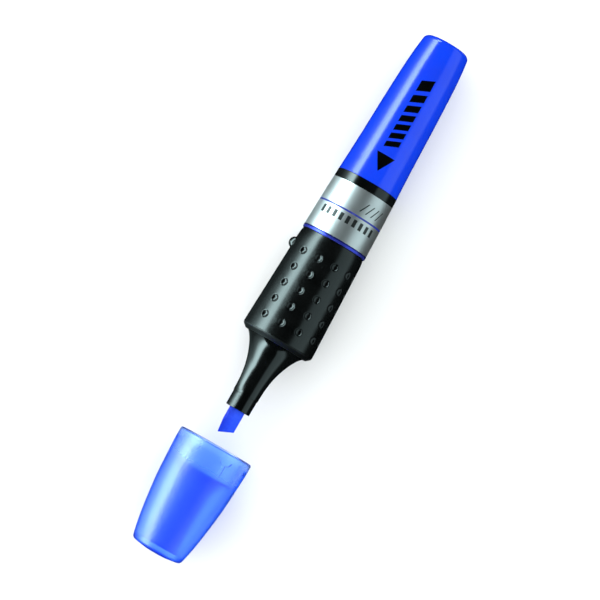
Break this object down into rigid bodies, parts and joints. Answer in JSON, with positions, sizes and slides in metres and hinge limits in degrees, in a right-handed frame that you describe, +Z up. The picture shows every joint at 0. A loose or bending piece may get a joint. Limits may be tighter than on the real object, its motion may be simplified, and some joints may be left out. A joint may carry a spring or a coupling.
{
  "type": "capped highlighter",
  "caption": "Thick capped highlighter with a slanted chisel nib, dimpled rubber grip, metal band and a pull-off translucent cap with an inner cap.",
  "frame": {"origin": "centre of the pen's length with the cap off, on the surface it lies on", "axes": "+X along the pen from the rear end to the nib and cap, +Z up, +Y to the side away from the anti-roll stud"},
  "size_m": [0.1756, 0.024, 0.0241],
  "materials": {
    "barrel_blue": "opaque gloss blue moulding",
    "accent_blue": "gloss blue ring",
    "gloss_black": "gloss black moulding",
    "band_metal": "satin bright metal with a filled blue line",
    "grip_rubber": "satin black soft rubber",
    "core_black": "plain black moulding, hidden",
    "nib_felt": "ink-soaked porous fibre, pressed",
    "wick_fibre": "bundled fibre, ink-soaked",
    "natural_plastic": "natural translucent moulding, hidden",
    "seal_rubber": "plain seal rubber, hidden",
    "ink": "liquid ink, stood in for by a closed volume",
    "cap_clear_blue": "translucent light blue, gloss outside",
    "liner_blue": "translucent blue, satin"
  },
  "bodies": {
    "pen": {"barrel": "barrel_blue", "black_ring": "gloss_black", "silver_band": "band_metal", "accent_ring": "accent_blue", "grip_core": "core_black", "grip_sleeve": "grip_rubber", "anti_roll_stud": "gloss_black", "front_collar": "gloss_black", "nose_cone": "gloss_black", "nib_collar": "core_black", "nib": "nib_felt", "section_seal": "seal_rubber", "ink_tank": "natural_plastic", "ink_charge": "ink", "tank_plug": "natural_plastic", "plug_seal": "seal_rubber", "feed_wick": "wick_fibre", "ink_regulator": "natural_plastic"},
    "cap": {"cap_shell": "cap_clear_blue", "cap_liner": "liner_blue"}
  },
  "joints": [
    {"name": "cap_pull", "type": "slide", "parent": "pen", "child": "cap", "axis": [1, 0, 0], "range_m": [-0.0355, 0.02]}
  ]
}
